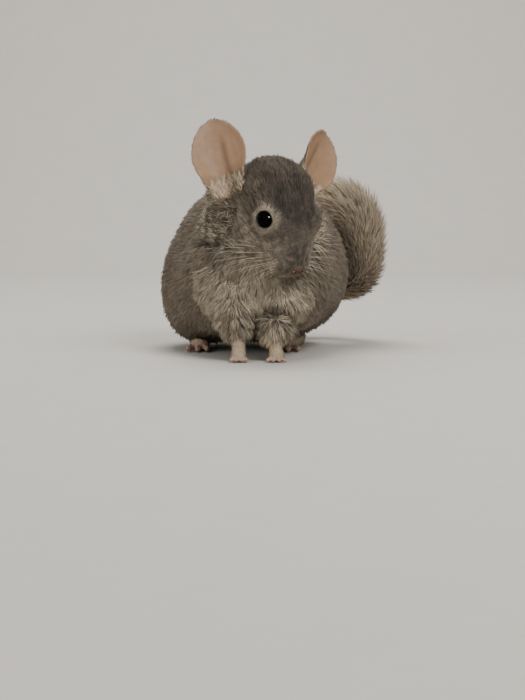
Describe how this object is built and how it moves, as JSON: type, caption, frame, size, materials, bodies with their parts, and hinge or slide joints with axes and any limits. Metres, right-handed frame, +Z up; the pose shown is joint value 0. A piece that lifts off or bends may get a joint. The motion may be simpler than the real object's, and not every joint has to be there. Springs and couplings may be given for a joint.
{
  "type": "chinchilla",
  "caption": "Life-size still model of a crouching grey chinchilla, head turned and lowered, bushy tail curled up at its flank.",
  "frame": {"origin": "middle of the footprint of the whole model, on the floor", "axes": "+Z up, the animal faces -Y, its left side is +X"},
  "size_m": [0.1568, 0.1846, 0.1517],
  "materials": {
    "fur": "dense soft grey-brown fur",
    "pale_fur": "shaggy light grey fur with darker bands",
    "feet": "very short cream fur over pinkish skin",
    "bare_skin": "thin, nearly bare pink-tan skin",
    "eye": "wet black gloss",
    "claw": "pale horn",
    "whisker": "pale stiff hair"
  },
  "bodies": {
    "root": {"torso": "fur", "neck": "fur", "head": "fur", "hindleg_left": "fur", "hindleg_right": "fur", "foreleg_left": "pale_fur", "foreleg_right": "pale_fur", "tail_base": "fur", "tail_middle": "fur", "tail_tip": "fur", "hindfoot_left": "feet", "hindfoot_right": "feet", "forepaw_left": "feet", "forepaw_right": "feet", "ear_left": "bare_skin", "ear_right": "bare_skin", "eye_left": "eye", "eye_right": "eye"}
  },
  "joints": []
}
